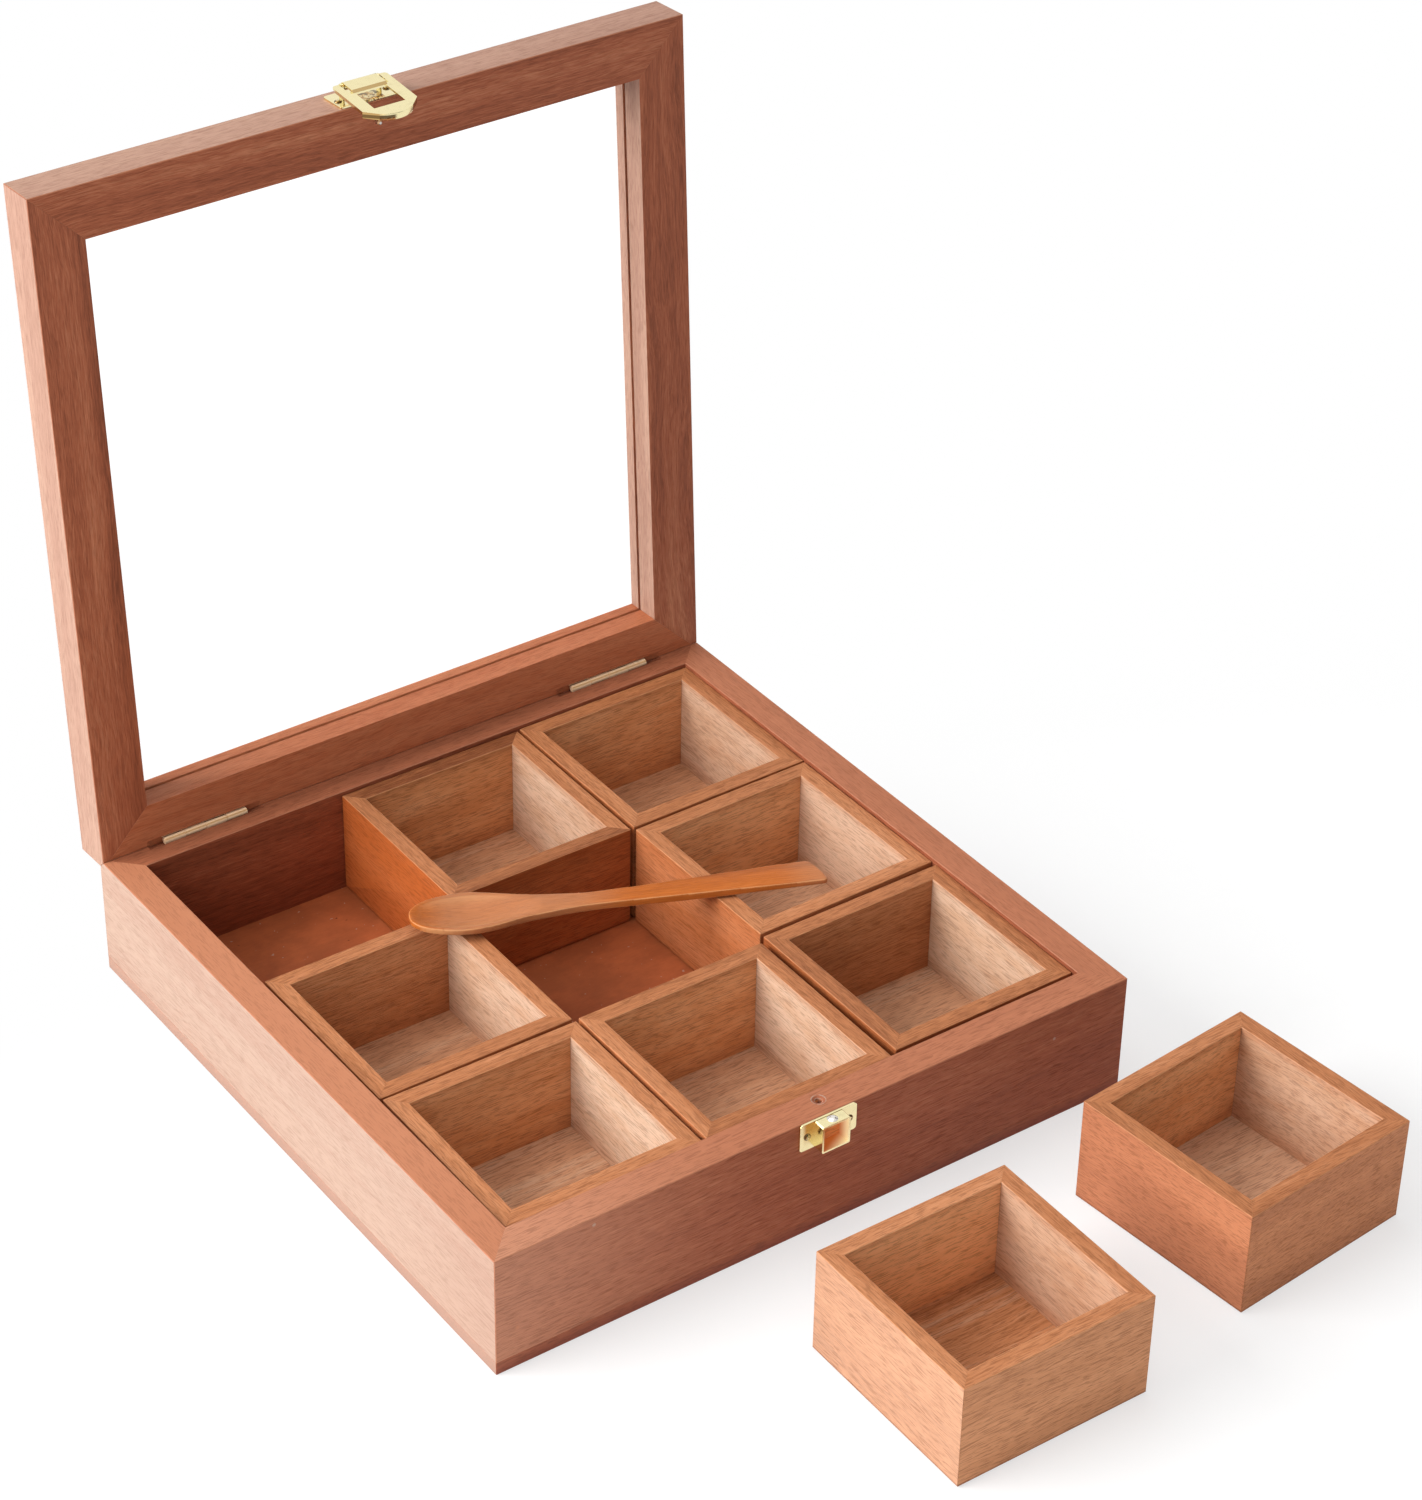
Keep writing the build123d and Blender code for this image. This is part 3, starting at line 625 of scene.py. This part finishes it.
class SPICEBOX_OT_case(bpy.types.Operator):
    """Finish the walls and the bottom of the case"""

    bl_idname = "spicebox.case"
    bl_label = "Case"

    def execute(self, context):
        look = context.scene.spice_box_case
        front = timber("case_front_wood", look, RIGHT, UP, 1.3, figure=0.2, bend=3, rim=0.5, extra=self.marks)
        back = timber("case_back_wood", look, RIGHT, UP, 2.7, tone=-0.05, rim=0.3)
        # Painted light: the left wall's outside is painted paler, where the window light falls on it.
        left = timber(
            "case_left_wood", look, BACK, UP, 4.1, tone=0.04, pore_share=0.3, rim=0.9,
            extra=self.painted_light_less_at_front,
        )
        right = timber("case_right_wood", look, BACK, UP, 5.9, pore_share=0.35, rim=0.5)
        boards = {
            "case_front_wall": front,
            "case_back_wall": back,
            "case_left_wall": left,
            "case_right_wall": right,
            "case_bottom_panel": self.bottom(look),
        }
        for name, wood in boards.items():
            give(name, wood)
            soften(name, SANDED)
        return {"FINISHED"}

    @staticmethod
    def painted_light_less_at_front(finish, wood, level):
        """Painted light that makes the outside paler, a little less so at the end towards the front."""
        look = bpy.context.scene.spice_box_case
        near = finish.rise(finish.dot(finish.place, -BACK), 0.05, 0.13)
        return finish.blend(near * 0.14, painted_light(look, -RIGHT)(finish, wood, level), look.middle)

    @staticmethod
    def marks(finish, wood, level):
        """Painted light at the left end, filled nail marks, a painted glow on the wood in the keeper's block
        and a scratched locating hole.
        """
        look = bpy.context.scene.spice_box_case
        # Painted light: the front is painted lighter towards its left end, which is nearer the light.
        leftward = finish.rise(finish.dot(finish.place, -RIGHT), 0.02, 0.14)
        wood = finish.blend(leftward * 0.35, wood, look.light)
        wood = finish.blend(leftward * 0.25, wood, look.painted_left_light)
        # Painted glow: warm light painted on the wood inside the keeper's block.
        in_block = inside_block(finish) * finish.faces(-BACK, 0.8, 0.9)
        wood = finish.blend(in_block, wood, bpy.context.scene.spice_box_metal.painted_block_glow)
        for x, z, radius, shade in (
            (-0.117, 0.016, 1.1 * MM, look.light),
            (-0.0885, 0.0435, 0.9 * MM, look.pale),
            (0.0945, 0.0345, 0.8 * MM, look.pale),
        ):
            apart = finish.distance(finish.place, Vector((x, CASE_FRONT, z)))
            wood = finish.blend(finish.fall(apart, 0.4 * radius, radius) * 0.7, wood, shade)
        apart = finish.distance(finish.place, LOCATING_HOLE) / MM
        rubbed = finish.noise(finish.place, (900, 900, 900), detail=2)
        rings = finish.rise(finish.maths("SINE", apart * 6.0), 0.2, 0.8) * finish.fall(apart, 2.4, 3.4)
        return finish.blend(rings * finish.rise(rubbed, 0.3, 0.55) * 0.8, wood, look.pale)

    @staticmethod
    def bottom(look):
        """The smooth bottom panel, with a few pale specks inside, a darker foot outside and painted light on
        the foot's left side.
        """
        finish = Finish("case_bottom_wood")
        place = finish.grain_place(RIGHT, BACK, 3.3)
        clouds = finish.noise(place, (0.05, 0.07, 0.07), detail=5, roughness=0.65)
        threads = finish.noise(place, (0.2, 1.3, 1.3), detail=3)
        specks = finish.rise(finish.noise(place, (0.5, 0.6, 0.6), detail=1), 0.73, 0.77)
        grit = finish.rise(finish.noise(place, (0.35, 0.37, 0.3), detail=1), 0.75, 0.79)
        shadier = tuple(0.74 * part for part in look.floor)
        wood = finish.blend(finish.rise(clouds, 0.35, 0.65), shadier, look.floor)
        wood = finish.blend(threads * 0.3, wood, look.dark)
        wood = finish.blend(specks * 0.7, wood, look.pale)
        wood = finish.blend(grit * 0.7, wood, look.pore)
        side = finish.fall(abs(finish.dot(finish.facing, UP)), 0.3, 0.8)
        foot = finish.blend(finish.rise(finish.height() / MM, 0.5, 5.0), look.foot, look.middle)
        foot = finish.blend(finish.rise(threads, 0.4, 0.7) * 0.6, foot, look.dark)
        # Painted light: the foot's left side is painted paler, where the window light falls on it.
        foot = finish.blend(finish.faces(-RIGHT) * 0.55, foot, look.pale)
        wood = finish.blend(side, wood, foot)
        sockets = {"Base Color": wood, "Roughness": 0.5 + clouds * 0.1, "Specular IOR Level": 0.3}
        return finish.surface(sockets, threads, strength=0.15, distance=0.1 * MM)


class SPICEBOX_OT_lid_frame(bpy.types.Operator):
    """Finish the four rails of the lid"""

    bl_idname = "spicebox.lid_frame"
    bl_label = "Lid frame"

    def execute(self, context):
        look = context.scene.spice_box_case
        rise = Matrix.Rotation(-open_angle(), 3, "X") @ -BACK

        def redden(finish, wood, level):
            return finish.blend(0.35, wood, look.floor)

        # Painted light: the front rail's outward face is painted paler where the light from above falls on
        # it, and the stiles' left sides are painted paler where the window light falls on them.
        rails = {
            "lid_front_rail": timber(
                "lid_front_wood", look, RIGHT, rise, 7.7, pore_share=0.4, extra=painted_light(look, rise, 0.6)
            ),
            "lid_back_rail": timber(
                "lid_back_wood", look, RIGHT, rise, 8.2, tone=0.1, pore_share=0.4, bend=18, extra=redden
            ),
            "lid_left_stile": timber(
                "lid_left_wood", look, rise, RIGHT, 9.6, pore_share=0.35, figure=0.6, bend=14,
                extra=painted_light(look, -RIGHT, 0.65),
            ),
            "lid_right_stile": timber(
                "lid_right_wood", look, rise, RIGHT, 11.4, tone=0.02, pore_share=0.35, figure=0.75, bend=26,
                extra=painted_light(look, -RIGHT, 0.64),
            ),
        }
        for name, wood in rails.items():
            give(name, wood)
            soften(name, SANDED)
        return {"FINISHED"}


class SPICEBOX_OT_glass(bpy.types.Operator):
    """Glaze the lid"""

    bl_idname = "spicebox.glass"
    bl_label = "Glass"

    def execute(self, context):
        tint = (*context.scene.spice_box_glazing.tint, 1)
        finish = Finish("clear_glass")
        smears = finish.noise(finish.place, (14, 14, 40), detail=4)
        sockets = {
            "Base Color": tint,
            "Roughness": finish.rise(smears, 0.55, 0.9) * 0.02,
            "IOR": 1.45,
            "Specular IOR Level": 0.03,
            "Transmission Weight": 1,
        }
        glass = finish.node("ShaderNodeBsdfPrincipled", sockets)
        clear = finish.node("ShaderNodeBsdfTransparent", {"Color": tint})
        shadow = finish.node("ShaderNodeLightPath").outputs["Is Shadow Ray"]
        sockets = {0: shadow, 1: glass.outputs[0], 2: clear.outputs[0]}
        give("lid_glass", finish.end_in(finish.node("ShaderNodeMixShader", sockets)))
        return {"FINISHED"}


def cup_wall(look, cup, style, bareness, plain, palest):
    """Bare, mottled wood on a cup's inner sides with an oiled band at the rim, and painted light that makes
    the outside paler, most on the side that faces the light.
    """
    low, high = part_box(f"{cup}_side_walls")
    middle = Vector(((low.x + high.x) / 2, (low.y + high.y) / 2, 0))

    def lay(finish, wood, level):
        place = finish.place
        facing = finish.vector("MULTIPLY", finish.facing, (1, 1, 0)).outputs[0]
        outward = finish.dot(finish.vector("SUBTRACT", place, middle).outputs[0], facing)
        inner = finish.rise(outward * -1, *CUP_SIDE)
        outer = finish.rise(outward, *CUP_SIDE)
        clouds = finish.noise(place, (40, 40, 130), detail=4, roughness=0.6)
        blots = finish.noise(place, (30, 30, 120), detail=4, roughness=0.65, distortion=0.4)
        bare = finish.blend(finish.rise(clouds * 0.4 + level * 0.6, 0.38, 0.6), plain, palest)
        bare = finish.blend(finish.rise(blots, 0.55, 0.72) * 0.3, bare, look.stain)
        depth = (high.z - finish.height()) / MM
        oiled_rim = finish.fall(depth + (clouds - 0.5) * 4, *OILED_RIM)
        # The walls turn darker towards the floor inside the cup.
        darker_near_floor = finish.rise(depth + (clouds - 0.5) * 6, *DARKER_NEAR_FLOOR) * 0.35
        bare = finish.blend(oiled_rim * 0.4 + darker_near_floor, bare, wood)
        # Painted light: the outer sides are painted paler, most on the side that faces the light.
        leftward = finish.rise(finish.dot(facing, -RIGHT), 0.7, 0.9)
        wood = finish.blend(outer * leftward * style.painted_light, wood, finish.blend(0.35, look.bright, wood))
        wood = finish.blend(outer * (1 - leftward) * style.painted_light * 0.45, wood, look.honey)
        wood = finish.blend(outer * (leftward * 0.5 + 0.5) * style.ruddy, wood, look.ruddy)
        # Darker along the bottom of the outer sides.
        darker_at_bottom = finish.fall((finish.height() - low.z) / MM, 0.6, 1.7)
        wood = finish.blend(outer * darker_at_bottom * 0.7, wood, look.dark)
        return finish.blend(inner * bareness, wood, bare)

    return lay


class SPICEBOX_OT_cups(bpy.types.Operator):
    """Finish the nine cups"""

    bl_idname = "spicebox.cups"
    bl_label = "Cups"

    def execute(self, context):
        look = context.scene.spice_box_cup
        for number, (cup, style) in enumerate(CUPS.items()):
            seed = 20.3 + 3.7 * number
            pale = cup_wall(look, cup, style, style.bare_sides, look.inside, look.bright)
            golden = cup_wall(look, cup, style, style.bare_ends, look.amber, look.honey)
            sides = timber(
                f"{cup}_side_wood", look, BACK, UP, seed, tone=style.tone, pore_share=0.6, extra=pale
            )
            ends = timber(
                f"{cup}_end_wood", look, RIGHT, UP, seed + 1.3, tone=style.end_tone, pore_share=0.65,
                extra=golden,
            )
            give(f"{cup}_side_walls", sides)
            give(f"{cup}_end_walls", ends)
            give(f"{cup}_base", self.base(look, cup, seed + 0.7, style.pale_base))
            soften(f"{cup}_side_walls", SANDED)
            soften(f"{cup}_end_walls", SANDED)
        return {"FINISHED"}

    @staticmethod
    def base(look, cup, seed, paleness):
        """The thin base, with long open pores."""
        finish = Finish(f"{cup}_base_wood")
        place = finish.grain_place(RIGHT, BACK, seed)
        bands, streaks, fibres, pores = grain(finish, place, bend=3.0, band=0.12)
        level = bands * 0.45 + streaks * 0.25 + fibres * 0.3
        wood = finish.ramp(level, (0.34, look.stain), (0.5, look.floor), (0.68, look.inside))
        wood = finish.blend(paleness, wood, look.bright)
        wood = finish.blend(pores * 0.4, wood, look.pore)
        sockets = {"Base Color": wood, "Roughness": 0.55 + pores * 0.2, "Specular IOR Level": 0.3}
        return finish.surface(sockets, fibres * 0.4 - pores, strength=0.4, distance=0.15 * MM)


class SPICEBOX_OT_spoon(bpy.types.Operator):
    """Smooth the spoon's tool marks and finish it"""

    bl_idname = "spicebox.spoon"
    bl_label = "Spoon"

    def execute(self, context):
        look = context.scene.spice_box_spoon
        along = Vector((cos(SPOON_TURN), sin(SPOON_TURN), 0))
        low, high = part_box("spoon")
        bowl_end = Vector((low.x, high.y, 0)).dot(along)

        def dull_ends(finish, wood, level):
            reached = (finish.dot(finish.place, along) - bowl_end) / MM
            bowl = finish.rise(reached, 4, 18) * finish.fall(reached, 56, 81)
            tip = finish.rise(reached, 128, 146)
            return finish.blend(bowl * 0.35 + tip * 0.3, wood, look.bowl)

        wood = timber(
            "spoon_wood", look, along, UP.cross(along), 51.1, pore_share=0.25, bend=3, band=0.16,
            roughness=0.38, extra=dull_ends,
        )
        give("spoon", wood)
        spoon = nodes["spoon"]
        join_skin(spoon)
        remesh = spoon.modifiers.new("Even skin", "REMESH")
        remesh.mode = "VOXEL"
        remesh.voxel_size = 0.35 * MM
        remesh.use_smooth_shade = True
        smooth = spoon.modifiers.new("Sanded", "SMOOTH")
        smooth.factor = 0.5
        smooth.iterations = 6
        return {"FINISHED"}


def brass(name, look, clean, roughness, worn, metallic=1.0, extra=None, glowing=None):
    """Brass with faint rolling marks, duller places and a deep golden reflection painted along its edges.

    extra(finish, colour) may lay more over its colour. glowing(finish) is 1 where it holds warm light.
    """
    finish = Finish(name)
    place = finish.vector("MULTIPLY", finish.place, (1 / MM,) * 3).outputs[0]
    clouds = finish.noise(place, (0.35, 0.35, 0.35), detail=4)
    lines = finish.noise(place, (3, 3, 3), detail=3)
    tarnished = finish.rise(clouds, 0.5, 0.85) * worn
    metal = finish.blend(tarnished, clean, look.tarnish)
    # Painted reflection: the edges are painted deep gold.
    metal = finish.blend(finish.eased_edges() * 0.7, metal, look.deep)
    if extra is not None:
        metal = extra(finish, metal)
    gloss = roughness + lines * 0.08 + tarnished * 0.25
    sockets = {"Base Color": metal, "Metallic": metallic, "Roughness": gloss}
    if glowing is not None:
        share = glowing(finish)
        light = finish.blend(share, (0, 0, 0), metal)
        sockets.update({"Metallic": 1 - share * 0.8, "Emission Color": light, "Emission Strength": 0.42})
    return finish.surface(sockets, lines, strength=0.08, distance=0.05 * MM)


def reflections(finish, metal):
    """Dark and golden reflections on the plate under the hasp, between its side rails."""
    look = bpy.context.scene.spice_box_metal
    apart = finish.distance(finish.place, PLATE_UNDER_HASP) / MM
    patches = finish.noise(finish.place, (420, 420, 420), detail=2, distortion=1.5)
    shades = ((0.36, look.shade), (0.47, look.deep), (0.56, look.polished), (0.64, look.shade))
    between_rails = abs(finish.dot(finish.place, RIGHT) / MM - CATCH_MIDDLE) < RAIL_ROOM
    share = finish.fall(apart, 6.0, 7.5) * between_rails * 0.85
    return finish.blend(share, metal, finish.ramp(patches, *shades))


def block_place(finish):
    """Millimetres right of and above the middle of the keeper's block, and the share of its depth."""
    across = finish.dot(finish.place, RIGHT) / MM - CATCH_MIDDLE
    up = finish.height() / MM - BLOCK_HEIGHT
    forward = (finish.dot(finish.place, -BACK) + CASE_FRONT) / (BLOCK_REACH * MM)
    return across, up, forward


def inside_block(finish):
    """1 inside the keeper's square block and 0 elsewhere."""
    across, up, forward = block_place(finish)
    return (abs(across) < BLOCK_INSIDE[0]) * (abs(up) < BLOCK_INSIDE[1]) * (forward < 0.99)


def keeper_painted_light(finish, metal):
    """Painted light: a glow inside the block, a silver highlight and a dark reflection on the snap bump, and
    an orange reflection beside the block.
    """
    look = bpy.context.scene.spice_box_metal
    across, _, forward = block_place(finish)
    towards_light = forward * 0.6 + (across + BLOCK_HALF_WIDTH) * (0.25 / BLOCK_HALF_WIDTH)
    glow = finish.blend(finish.rise(towards_light, 0.4, 1.05), look.ember, look.polished)
    metal = finish.blend(inside_block(finish), metal, glow)
    # Painted highlight: silver light on the snap bump.
    bump = finish.distance(finish.place, SNAP_BUMP) / MM
    metal = finish.blend(finish.fall(bump, 1.7, 2.0) * 0.9, metal, SILVER)
    # Painted reflection: a dark curl on the bump.
    curl = finish.distance(finish.place, BUMP_CURL) / MM
    curl = finish.rise(curl, 0.2, 0.35) * finish.fall(curl, 0.5, 0.65)
    metal = finish.blend(curl * 0.8, metal, look.shade)
    beside = finish.fall(abs(finish.dot(finish.place, RIGHT) / MM - PLATE_LEFT), 1.6, 3.2)
    upper = finish.rise(finish.height() / MM, 36, 44)
    return finish.blend(finish.faces(-BACK) * beside * upper * 0.8, metal, look.deep)


def lip_stripe(finish, metal):
    """A dark reflection along the hasp's turned-down nose."""
    look = bpy.context.scene.spice_box_metal
    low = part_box("catch_hasp")[0]
    up = (finish.height() - low.z) / MM
    across = finish.dot(finish.place, RIGHT) / MM - CATCH_MIDDLE
    stripe = finish.fall(abs(up - 1.2), 0.45, 0.75)
    ends = finish.fall(across, -2.0, -0.5) + finish.rise(across, 4.0, 6.0) * 0.5
    return finish.blend(finish.faces(-BACK, 0.5, 0.8) * stripe * ends * 0.9, metal, look.shade)


def painted_nail_reflections(node_name, through):
    """Painted dark reflections, as rings and a blot, on a pair of round nail heads whose nails point one way.
    """
    low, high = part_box(node_name)
    flat = Vector((1, 1, 1)) - through
    radius = (high - low).dot(flat - RIGHT) / 2
    middle = (low + high) / 2

    def lay(finish, metal):
        look = bpy.context.scene.spice_box_metal
        flattened = finish.vector("MULTIPLY", finish.place, flat).outputs[0]
        blots = finish.noise(finish.place, (900, 900, 900), detail=1, distortion=1.5)
        for x in (low.x + radius, high.x - radius):
            centre = Vector((x, middle.y * flat.y, middle.z * flat.z))
            apart = finish.distance(flattened, centre) / radius
            ring = finish.fall(apart, 0.98, 1.1) * finish.rise(apart, 0.55, 0.7)
            blot = finish.fall(apart, 0.45, 0.6) * finish.rise(blots, 0.5, 0.58)
            metal = finish.blend(ring * 0.85, metal, look.shade)
            metal = finish.blend(blot * 0.85, metal, look.shade)
        return metal

    return lay


class SPICEBOX_OT_hinges(bpy.types.Operator):
    """Finish the two hinges and the two steel pins"""

    bl_idname = "spicebox.hinges"
    bl_label = "Hinges"

    def execute(self, context):
        look = context.scene.spice_box_metal
        leaf = brass("rolled_brass", look, look.dull, 0.42, worn=0.15, metallic=0.2)
        wire = brass("steel_wire", look, look.steel, 0.25, worn=0.1)
        for side in ("left", "right"):
            give(f"{side}_hinge_case_leaf", leaf)
            give(f"{side}_hinge_lid_leaf", leaf)
            give(f"{side}_hinge_pin", leaf)
        give("lid_locating_pin", wire)
        give("catch_pin", wire)
        return {"FINISHED"}


class SPICEBOX_OT_catch(bpy.types.Operator):
    """Finish the snap catch"""

    bl_idname = "spicebox.catch"
    bl_label = "Catch"

    def execute(self, context):
        look = context.scene.spice_box_metal
        # The extra colours here are painted light: reflections on the plate, the hasp and the nail heads, and
        # a glow, a highlight and reflections on the keeper.
        parts = {
            "catch_keeper": ("keeper_brass", {"extra": keeper_painted_light, "glowing": inside_block}),
            "catch_base_plate": ("base_plate_brass", {"extra": reflections}),
            "catch_hasp": ("hasp_brass", {"extra": lip_stripe}),
        }
        for name, (finish_name, marks) in parts.items():
            give(name, brass(finish_name, look, look.polished, 0.12, worn=0.15, **marks))
            soften(name, BUFFED)
        heads = {
            "catch_keeper_nails": ("keeper_nail_brass", BACK),
            "catch_base_nails": ("base_nail_brass", UP),
        }
        for name, (finish_name, through) in heads.items():
            marks = painted_nail_reflections(name, through)
            give(name, brass(finish_name, look, look.polished, 0.2, worn=0.3, extra=marks))
        return {"FINISHED"}


class SPICEBOX_PT_panel(bpy.types.Panel):
    """The steps that dress the spice box"""

    bl_idname = "SPICEBOX_PT_panel"
    bl_label = "Wooden Spice Box"
    bl_space_type = "VIEW_3D"
    bl_region_type = "UI"
    bl_category = "Spice Box"

    def draw(self, context):
        for operator in OPERATORS:
            self.layout.operator(operator.bl_idname)


SETTINGS = {
    "spice_box_case": CaseTimber,
    "spice_box_cup": CupTimber,
    "spice_box_spoon": SpoonTimber,
    "spice_box_metal": Metalwork,
    "spice_box_glazing": Glazing,
    "spice_box_view": PhotoView,
    "spice_box_studio": Studio,
}
OPERATORS = (
    SPICEBOX_OT_camera,
    SPICEBOX_OT_stage,
    SPICEBOX_OT_case,
    SPICEBOX_OT_lid_frame,
    SPICEBOX_OT_glass,
    SPICEBOX_OT_cups,
    SPICEBOX_OT_spoon,
    SPICEBOX_OT_hinges,
    SPICEBOX_OT_catch,
)


def register():
    for group in SETTINGS.values():
        bpy.utils.register_class(group)
    for operator in OPERATORS:
        bpy.utils.register_class(operator)
    bpy.utils.register_class(SPICEBOX_PT_panel)
    for name, group in SETTINGS.items():
        setattr(bpy.types.Scene, name, bpy.props.PointerProperty(type=group))


def unregister():
    for name in SETTINGS:
        delattr(bpy.types.Scene, name)
    bpy.utils.unregister_class(SPICEBOX_PT_panel)
    for operator in reversed(OPERATORS):
        bpy.utils.unregister_class(operator)
    for group in reversed(SETTINGS.values()):
        bpy.utils.unregister_class(group)


def main():
    register()
    bpy.ops.spicebox.camera()
    bpy.ops.spicebox.stage()
    bpy.ops.spicebox.case()
    bpy.ops.spicebox.lid_frame()
    bpy.ops.spicebox.glass()
    bpy.ops.spicebox.cups()
    bpy.ops.spicebox.spoon()
    bpy.ops.spicebox.hinges()
    bpy.ops.spicebox.catch()
    bpy.context.view_layer.update()


if __name__ == "__main__":
    main()
